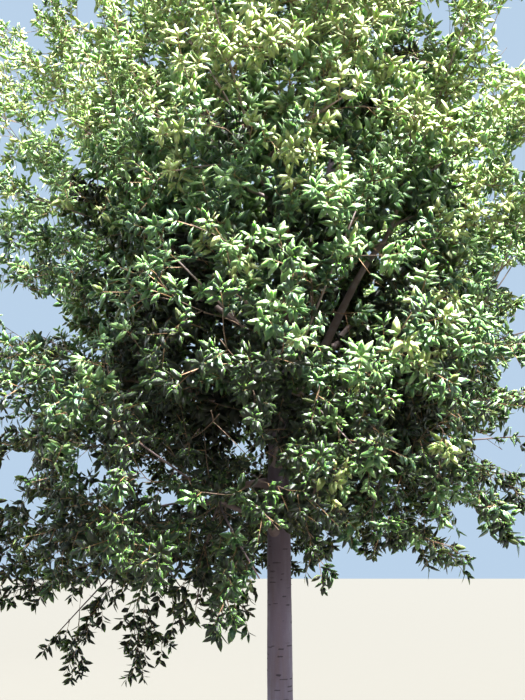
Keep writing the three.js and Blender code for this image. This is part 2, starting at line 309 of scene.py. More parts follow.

# The crown's dark hollows, and how much painted shade darkens their leaves' tints
HOLLOWS = (
    (450, 24, 24), (420, 52, 22), (352, 106, 24), (10, 125, 14), (232, 126, 24), (92, 190, 20),
    (256, 205, 15), (322, 250, 14), (184, 266, 20), (340, 284, 17), (150, 310, 20), (212, 314, 28),
    (130, 350, 16), (430, 424, 24), (222, 432, 40), (276, 446, 18), (152, 468, 28), (256, 476, 22),
    (222, 515, 24),
)
HOLLOW_SHADE = 0.5

# The sprays that catch the light: painted light lifts their leaves to lighter tints
LIT_SPRAYS = (
    (152, 24, 24), (258, 50, 56), (484, 90, 24), (84, 92, 26), (432, 124, 32), (170, 150, 26),
    (290, 160, 26), (330, 190, 13), (470, 195, 42), (212, 240, 15), (260, 263, 18), (456, 300, 26),
    (290, 330, 18), (412, 356, 24), (356, 372, 15), (92, 374, 14), (76, 418, 18), (440, 440, 20),
    (60, 470, 18), (362, 490, 30), (472, 518, 22),
)
LIT_SPRAY_LIGHT = 0.46

# The crown's belly, whose leaves are in shade: painted shade darkens their tints by this much
BELLY = (
    (160, 350, 44), (262, 366, 36), (256, 440, 56), (150, 450, 50),
)
BELLY_SHADE = 0.42

# The strands that hang in front of and beside the stem, and at the far left
STRANDS = (
    (318, 585, 14), (20, 590, 26), (232, 590, 24), (320, 614, 14), (24, 620, 22), (232, 628, 24),
    (234, 664, 20),
)

# Painted shade round the crown's top, from the first height to the second: it darkens the outside leaves'
# tints
TOP_SHADE_HEIGHTS = (4.3, 5.0)
TOP_SHADE = 0.85

# The leaves before the bare stem, and before a stretch of the large bough and its leading twig, stay so many
# pixels away from it. The stretch goes from this point of the bough on, and over these of the twig.
WINDOW_MASS = "upper_1"
WINDOW_PIXELS = 7
WINDOW_BOUGH_POINTS = 20
WINDOW_BOUGH_START = 8
WINDOW_TWIG_POINTS = slice(2, 6)
STEM_WINDOW_PIXELS = 21
STEM_WINDOW_HEIGHTS = (1.0, 1.68)
STEM_WINDOW_POINTS = 30

# Patterns of the finishes: scales along the axes, detail and roughness of the noise, the values between which
# the pattern sets in, how much it covers, and its share in the bump
Pattern = namedtuple("Pattern", "scale detail roughness edges cover bump")
BLOOM = Pattern((9, 9, 2.2), 4, 0.55, (0.40, 0.66), 0.75, 0.0)
STREAKS = Pattern((42, 42, 3.5), 5, 0.55, (0.46, 0.72), 0.55, 0.3)
WRINKLES = Pattern((16, 16, 210), 4, 0.6, (0.56, 0.74), 0.45, 0.5)
SPECKLE = Pattern((150, 150, 260), 3, 0.55, (0.55, 0.75), 0.35, 0.25)
PATCHES = Pattern((20, 20, 20), 4, 0.55, (0.42, 0.66), 0.7, 0.3)
GRAIN = Pattern((170, 170, 170), 3, 0.55, (0.58, 0.72), 0.5, 0.5)
FLOOR_PATCHES = Pattern((3, 3, 3), 3, 0.55, (0.0, 1.0), 0.3, 0.0)
DASH_EDGES = (0.30, 0.62)
DASH_RAGGEDNESS = 0.55
DASH_COVER = 0.85
BUMP_STRENGTH = 0.5
STEM_BUMP_DEPTH = 0.0012
BOUGH_BUMP_DEPTH = 0.001
STEM_ROUGHNESS = 0.72
BOUGH_ROUGHNESS = 0.7
ROUGHNESS_PLAY = 0.2
FLOOR_ROUGHNESS = 0.9

# Between these heights the crown's shade, painted into the bark's colour, sets in on the stem
CROWN_SHADE_HEIGHTS = (1.3, 1.62)
CROWN_SHADE_COVER = 0.65

# Between these heights the same painted shade ends on the boughs
LOW_BOUGH_HEIGHTS = (1.8, 2.5)
LOW_BOUGH_COVER = 0.7

# A Mix node's sockets for its factor and two colours, and its colour result: by number, as names repeat
MIX_SOCKETS = (0, 6, 7)
MIX_RESULT = 2

# Lights and camera
LIGHT_DISTANCE = 9.0
RIM_PLACE = (-6.0, 6.0, 7.0)
RIM_SIZE = 4.0
SENSOR_WIDTH = 36


def length_setting(name, description, default):
    return bpy.props.FloatProperty(name=name, description=description, default=default, unit="LENGTH")


def angle_setting(name, description, degrees):
    angle = math.radians(degrees)
    return bpy.props.FloatProperty(name=name, description=description, default=angle, unit="ROTATION")


def number_setting(name, description, default):
    return bpy.props.FloatProperty(name=name, description=description, default=default)


def count_setting(name, description, default):
    return bpy.props.IntProperty(name=name, description=description, default=default)


def colour_setting(name, description, default):
    return bpy.props.FloatVectorProperty(name=name, description=description, default=default, subtype="COLOR")


class OakStemSettings(bpy.types.PropertyGroup):
    """Sizes and colours of the stem."""

    radius: length_setting("Radius", "Radius of the stem above its flare", 0.0665)
    tip_radius: length_setting("Tip radius", "Radius of the stem's tip", 0.013)
    height: length_setting("Height", "Height of the stem's tip above the ground", STEM_TOP)
    sides: count_setting("Sides", "Corners of the stem's outline", 72)
    dashes: count_setting("Dashes", "How many dark level dashes the bark has", 300)
    bark: colour_setting("Bark", "Grey-brown of the smooth bark", (0.178, 0.134, 0.180))
    pale_bark: colour_setting("Pale bark", "Lilac-grey bloom in patches", (0.285, 0.246, 0.312))
    brown_bark: colour_setting("Brown bark", "Warmer streaks", (0.175, 0.118, 0.118))
    # Painted shade on the stem under the crown and on the low boughs
    shaded_bark: colour_setting("Shaded bark", "Bark in the crown's shade", (0.060, 0.036, 0.046))
    dash: colour_setting("Dash", "The dark level dashes in the bark", (0.036, 0.024, 0.031))


class OakBoughSettings(bpy.types.PropertyGroup):
    """Sizes and colours of the boughs."""

    collar: number_setting("Collar", "How much fatter a bough is where it leaves the stem", 0.75)
    collar_length: length_setting("Collar length", "How far the collar reaches along the bough", 0.05)
    sides: count_setting("Sides", "Corners of a bough's outline, an even number", 12)
    bark: colour_setting("Bark", "Brown of the boughs", (0.250, 0.178, 0.158))
    pale_bark: colour_setting("Pale bark", "Grey patches on the boughs", (0.350, 0.285, 0.270))


class OakTwigSettings(bpy.types.PropertyGroup):
    """Sizes and colours of the twigs and the shoots."""

    limb_tip: length_setting("First twig tip", "Radius at the tip of a first twig", 0.0030)
    twig_foot: length_setting("Fine twig foot", "Radius at the foot of a fine twig", 0.0042)
    twig_tip: length_setting("Fine twig tip", "Radius at the tip of a fine twig", 0.0018)
    shoot_foot: length_setting("Shoot foot", "Radius at the foot of a shoot", 0.0019)
    shoot_tip: length_setting("Shoot tip", "Radius at the tip of a shoot", 0.0010)
    twig_bark: colour_setting("Twig bark", "Brown of the fine twigs", (0.155, 0.100, 0.066))
    twig_roughness: number_setting("Twig roughness", "Roughness of the fine twigs", 0.7)
    shoot_bark: colour_setting("Shoot bark", "Orange-brown of the shoots", (0.330, 0.190, 0.095))
    shoot_roughness: number_setting("Shoot roughness", "Roughness of the shoots", 0.6)


class OakLeafSettings(bpy.types.PropertyGroup):
    """Sizes and colours of the leaves."""

    length: length_setting("Length", "Length of a middling leaf", 0.066)
    width: length_setting("Width", "Width of a middling leaf", 0.028)
    per_shoot: count_setting("Leaves a shoot", "Leaves on one shoot", 9)
    fold: angle_setting("Fold", "Rise of each half from the keel", 13)
    translucency: bpy.props.FloatProperty(
        name="Translucency",
        description="Share of a leaf's light that passes into it",
        default=0.6,
        subtype="FACTOR",
    )
    light_depth: length_setting("Light depth", "How far light goes in a leaf", 0.006)
    # Leaf tints, partly age and partly painted light and shade: dark for shaded sprays, light for sunlit ones
    shade: colour_setting("Shade green", "Leaves deep in the crown, above", (0.012, 0.020, 0.007))
    deep: colour_setting("Deep green", "Old leaves, above", (0.026, 0.052, 0.016))
    blue: colour_setting("Blue green", "Glossy leaves, above", (0.046, 0.106, 0.052))
    middle: colour_setting("Middle green", "Most leaves, above", (0.082, 0.176, 0.060))
    fresh: colour_setting("Fresh green", "Younger leaves, above", (0.190, 0.320, 0.118))
    young: colour_setting("Young green", "Newest leaves, above", (0.390, 0.460, 0.165))
    umber: colour_setting("Umber", "Leaves deep in the crown, from below", (0.026, 0.027, 0.009))
    olive: colour_setting("Olive", "Older leaves from below", (0.095, 0.118, 0.038))
    sage: colour_setting("Sage", "Leaves from below", (0.190, 0.300, 0.130))
    pale: colour_setting("Pale", "Newest leaves from below", (0.320, 0.460, 0.180))


class OakStageSettings(bpy.types.PropertyGroup):
    """The camera, the floor and the lights."""

    camera_place: bpy.props.FloatVectorProperty(
        name="Camera place", description="Where the camera stands", subtype="XYZ", default=(-0.09, -3.7, 1.6)
    )
    camera_pitch: angle_setting("Camera pitch", "How far the camera looks up", 18.5)
    focal_pixels: number_setting("Focal length", "Focal length in the photograph's pixels", 650)
    floor: colour_setting("Floor", "Pale floor", (0.086, 0.081, 0.068))
    floor_patches: colour_setting("Floor patches", "Faint patches in the floor", (0.080, 0.075, 0.063))
    floor_size: length_setting("Floor size", "Side of the floor", 200)
    sky: colour_setting("Sky", "Pale backdrop", (0.58, 0.76, 0.97))
    sky_strength: number_setting("Sky strength", "Light all round", 0.80)
    backdrop_strength: number_setting("Backdrop strength", "How bright the backdrop looks", 0.85)
    key_strength: number_setting("Key strength", "Light of the key on a square metre that faces it", 28)
    key_height: angle_setting("Key height", "How high the key stands", 65)
    key_turn: angle_setting("Key turn", "How far right of the camera the key stands", 38)
    key_softness: angle_setting("Key softness", "How wide the key looks from the tree", 5)
    rim_strength: bpy.props.FloatProperty(
        name="Rim strength", description="Power of the light behind on the left", default=250, unit="POWER"
    )


Mass = namedtuple("Mass", "name tier centre lobe curve heading radii seed")
Twig = namedtuple("Twig", "points radii")
Shoots = namedtuple("Shoots", "feet tips")


def dice(seed):
    """Even random numbers from 0 to 1, the same for the same seed."""
    state = seed & WORD

    def roll():
        nonlocal state
        state = (state + DICE_STEP) & WORD
        mixed = ((state ^ (state >> 15)) * (state | 1)) & WORD
        mixed = ((mixed + (mixed ^ (mixed >> 7)) * (mixed | 61)) ^ mixed) & WORD
        return (mixed ^ (mixed >> 14)) / (WORD + 1)

    return roll


def length_of(vectors):
    return np.sqrt((vectors * vectors).sum(-1))


def unit(vectors):
    return vectors / np.maximum(length_of(vectors), LEAST_LENGTH)[..., None]


def lerp(start, end, share):
    return start + (end - start) * share


def ramp(value, low, high):
    """0 below low, 1 above high and even between them."""
    return np.clip((value - low) / (high - low), 0, 1)


def value_at(values, index):
    """A value between two entries of a row."""
    return np.interp(index, range(len(values)), values)


def point_at(points, index):
    """A point between two points of a line."""
    return np.array([value_at(points[:, axis], index) for axis in range(3)])


def noise_at(places):
    """Soft noise at each place, from about -1 to 1."""
    return np.array([noise.noise(place) for place in places])


def settings():
    """The scene, which holds the oak's settings."""
    return bpy.context.scene


def stem_middle(height):
    """Middle of the stem at one height, or at several."""
    height = np.asarray(height, float)
    share = ramp(height, LEAN_START, LEAN_END)
    share = share * share * (3 - 2 * share)
    sway = SWAY * np.sin(math.pi * height / LEAN_START) * share
    return np.stack((LEAN * share, sway - SWAY * share, height), -1)


def stem_radius(height):
    """Radius of the stem at a height: nearly even below the crown, then down to the tip."""
    stem = settings().oak_stem
    bare = stem.radius - STEM_TAPER * np.minimum(height, CROWN_FOOT)
    share = np.maximum(0, (height - CROWN_FOOT) / (stem.height - CROWN_FOOT))
    return lerp(bare, stem.tip_radius, share)


def outward_at(points):
    """Outward normal of the crown's egg."""
    return unit((points - HEART) / CROWN_HALVES**2)


def crown_depth(points):
    """How far out points lie in the crown's egg: 0 at its heart and 1 on its surface."""
    return length_of((points - HEART) / CROWN_HALVES)


def bough_curve(foot, centre):
    """Corners of a bough's curve: it rises from its foot and bends over towards its mass."""
    way = centre - foot
    outward = unit(way * (1, 1, 0))
    end = foot + way * BOUGH_END_SHARE
    last = unit(lerp(unit(end - foot), outward, BOUGH_END_BEND))
    length = length_of(end - foot)
    first = unit(outward + UP * BOUGH_START_RISE)
    return foot, foot + first * length * BOUGH_HANDLES[0], end - last * length * BOUGH_HANDLES[1], end


def curve_points(curve, count):
    """Points along a curve of three or four corners."""
    share = np.linspace(0, 1, count)[:, None]
    corners = [np.asarray(corner, float) for corner in curve]
    while len(corners) > 1:
        corners = [lerp(a, b, share) for a, b in zip(corners, corners[1:])]
    return corners[0]


@functools.cache
def all_masses():
    """Every foliage mass, with the bough that carries it."""
    masses = []
    for tier_index, tier in enumerate(TIERS):
        roll = dice(SEED + tier_index)
        for i in range(tier.count):
            angle = math.radians(tier.turn + 360 / tier.count * i)
            outward = np.array((math.cos(angle), math.sin(angle), 0.0))
            centre = outward * (tier.ring + PLACE_PLAY * (2 * roll() - 1))
            centre[0] += stem_middle(tier.height)[0] * TIER_SHIFT_SHARE
            lift = tier.slope[0] * outward[0] + tier.slope[1] * outward[1]
            centre[2] = tier.height + lift + PLACE_PLAY * (2 * roll() - 1)
            curve = bough_curve(stem_middle(tier.root + tier.climb * i), centre)
            seed = SEED + TIER_SEEDS * (tier_index + 1) + i
            heading = unit(curve[3] - curve[2])
            name = f"{tier.name}_{i + 1}"
            masses.append(Mass(name, tier, centre, tier.lobe, curve, heading, tier.radii, seed))
    foot = stem_middle(TOP_TIER.root)
    centre = np.array((foot[0] * TOP_SHIFT_SHARE, foot[1], TOP_TIER.height))
    seed = SEED + TIER_SEEDS * (len(TIERS) + 1)
    masses.append(Mass("top", TOP_TIER, centre, TOP_TIER.lobe, (foot,), UP, TOP_TIER.radii, seed))
    return masses


def in_space(points, mass, margin, side_margin):
    """Which points lie in a mass's own space, by these margins from its surface and its neighbours."""
    away = points - mass.centre
    inside = length_of(away) <= mass.lobe - margin
    for other in all_masses():
        if other is not mass:
            way = other.centre - mass.centre
            border = length_of(way) * mass.lobe / (mass.lobe + other.lobe)
            inside &= away @ unit(way) < border - side_margin
    return inside


def tips_among(directions, mass, share, play, least_outward, seed):
    """Where a mass's twigs would end with so many even directions round its middle."""
    tips = []
    roll = dice(seed)
    outward = outward_at(mass.centre)
    for i in range(directions):
        z = 1 - (2 * i + 1) / directions
        across = math.sqrt(1 - z * z)
        angle = GOLDEN_ANGLE * i + seed
        direction = np.array((across * math.cos(angle), across * math.sin(angle), z))
        tip = mass.centre + direction * mass.lobe * share
        tip = tip + play * (2 * np.array((roll(), roll(), roll())) - 1)
        if direction @ outward > least_outward:
            tips.append(tip)
    return np.array(tips).reshape(-1, 3)


def first_tips(mass):
    """Tips of a mass's first twigs: from the fewest directions that give it enough."""
    directions = FIRST_DIRECTIONS
    while True:
        tips = tips_among(directions, mass, TIP_SHARE, TIP_PLAY, TIP_LEAST_OUTWARD, mass.seed)
        tips = tips[in_space(tips, mass, TIP_INSET, TIP_INSET)]
        if len(tips) >= LEAST_TIPS:
            return tips[-MOST_TIPS:]
        directions += 1


def fork_on(start, end, tip):
    """Where a twig to this tip forks off another one: so far before its own tip as it lies beside it."""
    length = length_of(end - start)
    way = (end - start) / length
    along = (tip - start) @ way
    beside = math.sqrt(max(0, (tip - start) @ (tip - start) - along * along))
    run = min(max(along - FORK_SLOPE * beside, FIRST_FORK_SHARE * length), LAST_FORK_SHARE * length)
    return run / length


def mass_foot(mass):
    """Where a mass's leading twig starts: just past the bough's tip."""
    return mass.curve[-1] + mass.heading * (JOINT_GAP + STUB_LENGTH)


def first_twigs(mass):
    """The leading twig of a mass and those that fork from it, each as a bent line with its radii."""
    wood = settings().oak_twigs
    start = mass_foot(mass)
    tips = first_tips(mass)
    reach = (tips - start) @ mass.heading
    lead, *others = tips[np.argsort(-reach, kind="stable")]
    bough_tip = mass.curve[-1]
    root = bough_tip - mass.heading * FIRST_ROOT_DEPTH
    line = np.concatenate(([root], curve_points((bough_tip, start, lead), FIRST_POINTS)))
    along = np.linspace(0, 1, len(line))
    radii = lerp(mass.radii[1], wood.limb_tip, along**FIRST_TAPER)
    twigs = [Twig(line, radii)]
    for tip in others:
        index = 1 + fork_on(start, lead, tip) * (FIRST_POINTS - 1)
        foot = point_at(line, index)
        radius = value_at(radii, index) * FIRST_RADIUS_SHARE
        bend = foot + unit(lead - start) * length_of(tip - foot) * FIRST_BEND
        branch = curve_points((foot, bend, tip), len(line))
        twigs.append(Twig(branch, lerp(radius, wood.limb_tip, along)))
    return twigs


def nearest_fork(twigs, tip):
    """The twig that a fine twig to this tip forks off, and where."""
    best = None
    for twig in twigs:
        index = fork_on(twig.points[0], twig.points[-1], tip) * (len(twig.points) - 1)
        foot = point_at(twig.points, index)
        reach = length_of(tip - foot)
        if best is None or reach < best[0]:
            best = (reach, twig, index, foot)
    return best[1:]


def fine_twigs(mass, twigs):
    """Fine twigs, layer by layer from the middle outwards, each forking off the nearest wood."""
    wood = settings().oak_twigs
    fine = []
    for layer, (depth, directions) in enumerate(FINE_LAYERS):
        seed = mass.seed + FINE_SEED * (layer + 1)
        tips = tips_among(directions, mass, 1 - depth / mass.lobe, FINE_PLAY, mass.tier.inner, seed)
        tips = tips[in_space(tips, mass, depth / 2, -FINE_SIDE_SPARE)]
        grown = []
        for tip in tips:
            parent, index, foot = nearest_fork(twigs + fine, tip)
            behind = parent.points[max(0, int(index) - 1)]
            ahead = parent.points[min(len(parent.points) - 1, int(index) + 1)]
            reach = length_of(tip - foot)
            bend = foot + unit(ahead - behind) * reach * FINE_BEND + UP * reach * mass.tier.lift * FINE_LIFT
            curve = (foot, lerp(bend, (foot + tip) / 2, FINE_STRAIGHTNESS), tip)
            line = curve_points(curve, FINE_POINTS)
            hidden = in_window(line) | ~in_box(line) | ~in_strand(line)
            if hidden.any() or in_places(curve_points(curve, GAP_CHECK_POINTS), CROWN_GAPS).any():
                continue
            radius = min(wood.twig_foot, value_at(parent.radii, index) * FINE_RADIUS_SHARE)
            grown.append(Twig(line, lerp(radius, wood.twig_tip, np.linspace(0, 1, len(line)))))
        fine += grown
    return fine


def turned_frame(ways):
    """Two directions across each way, at right angles to each other."""
    helper = np.where(np.abs(ways[..., 2:]) < STEEP, UP, np.array((1.0, 0.0, 0.0)))
    first = unit(np.cross(ways, helper))
    return first, np.cross(ways, first)


def leaned(ways, around, spread):
    """Directions that lean off each way by the angle spread, turned round it by the angle around."""
    first, second = turned_frame(ways)
    beside = first * np.cos(around)[..., None] + second * np.sin(around)[..., None]
    return ways * np.cos(spread)[..., None] + beside * np.sin(spread)[..., None]


def shoots_on(mass, first, fine):
    """The shoots that stand in a spiral along a mass's twigs, and one at each twig's end."""
    rng = np.random.default_rng(mass.seed + SHOOT_SEED)
    feet, ways, lengths, inner = [], [], [], []
    for i, twig in enumerate(fine + first):
        on_first = i >= len(fine)
        spacing = INNER_SHOOT_SPACING if on_first else SHOOT_SPACING
        steps = length_of(np.diff(twig.points, axis=0))
        run = np.concatenate(([0], np.cumsum(steps)))
        places = np.arange(run[-1] * SHOOT_FIRST_SHARE, run[-1] - spacing / 2, spacing)
        places = np.append(places, run[-1])
        index = np.interp(places, run, np.arange(len(run)))
        low = np.minimum(index.astype(int), len(run) - 2)
        foot = lerp(twig.points[low], twig.points[low + 1], (index - low)[:, None])
        way = unit(twig.points[low + 1] - twig.points[low])
        around = rng.uniform(0, 2 * math.pi) + GOLDEN_ANGLE * np.arange(len(places))
        spread = np.full(len(places), SHOOT_SPREAD)
        spread[-1] = SHOOT_END_SPREAD
        way = leaned(way, around, spread)
        way = unit(way + outward_at(foot) * SHOOT_OUTWARD + UP * mass.tier.lift * SHOOT_LIFT)
        feet.append(foot)
        ways.append(way)
        lengths.append(rng.uniform(*SHOOT_LENGTHS, len(places)))
        inner.append(np.full(len(places), on_first))
    feet, ways, inner = np.concatenate(feet), np.concatenate(ways), np.concatenate(inner)
    lengths = np.concatenate(lengths)[:, None]
    tips = feet + ways * lengths + UP * lengths * mass.tier.lift * SHOOT_BEND
    kept = in_space(tips, mass, -SHOOT_SPACE_SPARE, -SHOOT_SIDE_SPARE) & in_box(tips) & ~in_hollow(tips)
    kept &= ~in_places(tips, CROWN_GAPS) & ~in_places(feet, CROWN_GAPS) & ~in_window(tips)
    kept &= in_strand(feet) | inner
    return Shoots(feet[kept], tips[kept])


def in_box(points):
    """Which points lie in the frame's box, with a little to spare."""
    low, high = (np.array(corner) for corner in CAD_BOX)
    spare = (high - low) * BOX_SPARE_SHARE
    return ((points > low - spare) & (points < high + spare)).all(-1)


@functools.cache
def windows():
    """What shows between the leaves: the bare stem, and a stretch of the large bough and its twig."""
    mass = next(mass for mass in all_masses() if mass.name == WINDOW_MASS)
    bough = curve_points(mass.curve, WINDOW_BOUGH_POINTS)[WINDOW_BOUGH_START:]
    twig = first_twigs(mass)[0].points[WINDOW_TWIG_POINTS]
    stem = stem_middle(np.linspace(*STEM_WINDOW_HEIGHTS, STEM_WINDOW_POINTS))
    return (np.concatenate((bough, twig)), WINDOW_PIXELS), (stem, STEM_WINDOW_PIXELS)


def in_window(points):
    """Which points stand right before what shows between the leaves."""
    across, down = photo_place(points)
    camera = np.array(settings().oak_stage.camera_place)
    covered = np.zeros(len(points), bool)
    for line, reach in windows():
        line_across, line_down = photo_place(line)
        beside = np.hypot(across[:, None] - line_across, down[:, None] - line_down)
        nearest = line[beside.argmin(1)]
        covered |= (length_of(points - camera) < length_of(nearest - camera)) & (beside.min(1) < reach)
    return covered


def in_hollow(points):
    """Which points lie in a hollow between the clumps of the crown's outside."""
    clumps = noise_at(Vector(point) * HOLLOWS_PER_METRE for point in points)
    hollow = np.where(in_front(points), in_places(points, HOLLOWS), clumps < HOLLOW_LEAST)
    return (crown_depth(points) > HOLLOW_DEPTH) & hollow


def in_strand(points):
    """Which points hang in one of the hem's strands, or lie above the hem."""
    below = np.clip((HEM_HEIGHT - points[:, 2]) / HEM_DEPTH, 0, 1)
    curtain = noise_at(Vector((x, y, STRAND_SHIFT)) for x, y in points[:, :2] * STRANDS_PER_METRE)
    return in_front_places(points, STRANDS) | (curtain >= lerp(-1.0, STRAND_LEAST, below))


def photo_place(points):
    """Where points show in the photograph, in pixels."""
    stage = settings().oak_stage
    away = points - np.array(stage.camera_place)
    sine, cosine = math.sin(stage.camera_pitch), math.cos(stage.camera_pitch)
    depth = away[:, 1] * cosine + away[:, 2] * sine
    rise = away[:, 2] * cosine - away[:, 1] * sine
    depth = np.maximum(depth, LEAST_DEPTH)
    across = PHOTO_SIZE[0] / 2 + stage.focal_pixels * away[:, 0] / depth
    down = PHOTO_SIZE[1] / 2 - stage.focal_pixels * rise / depth
    return across, down


def in_places(points, places):
    """Which points show in one of these places of the photograph, whose edges are ragged."""
    across, down = photo_place(points)
    ragged = noise_at(Vector((x, y, 0.0)) / EDGE_PIXELS for x, y in zip(across, down))
    inside = np.zeros(len(points), bool)
    for place_across, place_down, radius in places:
        inside |= np.hypot(across - place_across, down - place_down) < radius * (1 + ragged)
    return inside


def in_front(points):
    """Which points lie on the photographed side of the crown."""
    return points[:, 1] < HEART[1]


def in_front_places(points, places):
    """Which points on the photographed side show in one of these places."""
    return in_front(points) & in_places(points, places)


@functools.cache
def grown_crown():
    """For each mass, its first twigs, fine twigs and shoots."""
    crown = {}
    for mass in all_masses():
        twigs = first_twigs(mass)
        fine = fine_twigs(mass, twigs)
        crown[mass.name] = (mass, twigs, fine, shoots_on(mass, twigs, fine))
    return crown


def tubes(lines, radii, sides):
    """Corners and triangles of closed round rods along many lines of as many points each."""
    count, points = lines.shape[:2]
    ways = np.gradient(lines, axis=1)
    first, second = turned_frame(unit(ways))
    angles = np.linspace(0, 2 * math.pi, sides, endpoint=False)
    ring = first[:, :, None] * np.cos(angles)[:, None] + second[:, :, None] * np.sin(angles)[:, None]
    corners = lines[:, :, None] + ring * radii[:, :, None, None]
    wall = []
    for k in range(points - 1):
        for i in range(sides):
            a, b = k * sides + i, k * sides + (i + 1) % sides
            wall += [(a, b, b + sides), (a, b + sides, a + sides)]
    last = (points - 1) * sides
    for i in range(1, sides - 1):
        wall += [(0, i + 1, i), (last, last + i, last + i + 1)]
    wall = np.array(wall)
    triangles = wall[None] + (np.arange(count) * points * sides)[:, None, None]
    return corners.reshape(-1, 3), triangles.reshape(-1, 3)


def array_piece(name, corners, triangles, materials, slots):
    """A mesh object from arrays, each triangle with the slot of its material."""
    mesh = bpy.data.meshes.new(name)
    mesh.vertices.add(len(corners))
    mesh.vertices.foreach_set("co", np.ascontiguousarray(corners, np.float32).ravel())
    mesh.loops.add(3 * len(triangles))
    mesh.loops.foreach_set("vertex_index", np.ascontiguousarray(triangles, np.int32).ravel())
    mesh.polygons.add(len(triangles))
    mesh.polygons.foreach_set("loop_start", np.arange(len(triangles), dtype=np.int32) * 3)
    for material in materials:
        mesh.materials.append(material)
    mesh.polygons.foreach_set("material_index", np.ascontiguousarray(slots, np.int32))
    mesh.update(calc_edges=True)
    if mesh.validate():
        raise RuntimeError(f"{name} has bad faces")
    piece = bpy.data.objects.new(name, mesh)
    bpy.context.scene.collection.objects.link(piece)
    return piece


def join_arrays(parts):
    """Corners, triangles and slots of several parts as one."""
    corners, triangles, slots, start = [], [], [], 0
    for part_corners, part_triangles, slot in parts:
        corners.append(part_corners)
        triangles.append(part_triangles + start)
        slots.append(np.broadcast_to(slot, len(part_triangles)))
        start += len(part_corners)
    return np.concatenate(corners), np.concatenate(triangles), np.concatenate(slots)


def deselect_all():
    """Back to object mode with nothing selected."""
    if bpy.context.object and bpy.context.object.mode != "OBJECT":
        bpy.ops.object.mode_set(mode="OBJECT")
    bpy.ops.object.select_all(action="DESELECT")


class Value:
    """A number in a finish's nodes. Python maths on it adds Math nodes."""

    def __init__(self, finish, socket):
        self.finish = finish
        self.socket = socket

    def maths(self, operation, *values):
        """The result of a Math node."""
        sockets = dict(enumerate(values))
        return self.finish.node("ShaderNodeMath", {"operation": operation}, sockets)

    def __add__(self, other):
        return self.maths("ADD", self, other)

    def __sub__(self, other):
        return self.maths("SUBTRACT", self, other)

    def __rsub__(self, other):
        return self.maths("SUBTRACT", other, self)

    def __mul__(self, other):
        return self.maths("MULTIPLY", self, other)

    __radd__ = __add__
    __rmul__ = __mul__


class Finish:
    """A material whose nodes are added one by one to its shader."""

    def __init__(self, name):
        self.material = bpy.data.materials.new(name)
        self.material.use_nodes = True
        self.tree = self.material.node_tree
        self.shader = self.tree.nodes["Principled BSDF"]

    def fill(self, socket, value):
        """Gives a socket a link or a value."""
        if isinstance(value, Value):
            self.tree.links.new(value.socket, socket)
        elif hasattr(value, "__len__") and len(value) == 3 and socket.type == "RGBA":
            socket.default_value = (*value, 1)
        else:
            socket.default_value = value

    def node(self, kind, choices=None, sockets=None, output=0):
        """Any node: its choices are set first, then the values or links of its sockets."""
        made = self.tree.nodes.new(kind)
        for name, choice in (choices or {}).items():
            setattr(made, name, choice)
        for key, value in (sockets or {}).items():
            self.fill(made.inputs[key], value)
        return Value(self, made.outputs[output])

    def mottle(self, pattern):
        """A soft pattern from 0 to 1, in the piece's own coordinates."""
        coordinates = self.node("ShaderNodeTexCoord", output="Object")
        place = self.node("ShaderNodeMapping", sockets={"Vector": coordinates, "Scale": pattern.scale})
        sockets = {"Vector": place, "Scale": 1, "Detail": pattern.detail, "Roughness": pattern.roughness}
        return self.node("ShaderNodeTexNoise", sockets=sockets, output="Fac")

    def height(self):
        """Height above the ground."""
        place = self.node("ShaderNodeTexCoord", output="Object")
        return self.node("ShaderNodeSeparateXYZ", sockets={"Vector": place}, output="Z")

    def step(self, value, low, high):
        """0 below low, 1 above high and smooth between them."""
        choices = {"interpolation_type": "SMOOTHSTEP"}
        sockets = {"Value": value, "From Min": low, "From Max": high}
        return self.node("ShaderNodeMapRange", choices, sockets)

    def mix(self, share, first, second):
        """A colour between two others."""
        sockets = dict(zip(MIX_SOCKETS, (share, first, second)))
        return self.node("ShaderNodeMix", {"data_type": "RGBA"}, sockets, MIX_RESULT)

    def bump(self, height, distance):
        """The normals of a relief of that height."""
        sockets = {"Height": height, "Strength": BUMP_STRENGTH, "Distance": distance}
        return self.node("ShaderNodeBump", sockets=sockets)

    def set(self, name, value):
        """Gives one of the shader's own sockets a link or a value."""
        self.fill(self.shader.inputs[name], value)


def bark_finish():
    """Smooth grey-brown bark: lilac bloom in patches, warm streaks, dark level dashes, painted crown shade.
    """
    stem = settings().oak_stem
    bark = Finish("stem bark")
    bloom = bark.step(bark.mottle(BLOOM), *BLOOM.edges)
    streaks = bark.step(bark.mottle(STREAKS), *STREAKS.edges)
    speckle = bark.mottle(SPECKLE)
    wrinkles = bark.mottle(WRINKLES)
    dash = bark.node("ShaderNodeAttribute", {"attribute_name": "dash"}, output="Fac")
    ragged = bark.step(dash + (speckle - 0.5) * DASH_RAGGEDNESS, *DASH_EDGES)
    shade = bark.step(bark.height(), *CROWN_SHADE_HEIGHTS)
    colour = bark.mix(bloom * BLOOM.cover, stem.bark, stem.pale_bark)
    colour = bark.mix(streaks * STREAKS.cover, colour, stem.brown_bark)
    colour = bark.mix(bark.step(wrinkles, *WRINKLES.edges) * WRINKLES.cover, colour, stem.brown_bark)
    colour = bark.mix(bark.step(speckle, *SPECKLE.edges) * SPECKLE.cover, colour, stem.pale_bark)
    colour = bark.mix(shade * CROWN_SHADE_COVER, colour, stem.shaded_bark)
    colour = bark.mix(ragged * DASH_COVER, colour, stem.dash)
    relief = wrinkles * WRINKLES.bump + speckle * SPECKLE.bump + streaks * STREAKS.bump
    bark.set("Base Color", colour)
    bark.set("Roughness", STEM_ROUGHNESS + wrinkles * ROUGHNESS_PLAY)
    bark.set("Normal", bark.bump(relief, STEM_BUMP_DEPTH))
    return bark.material


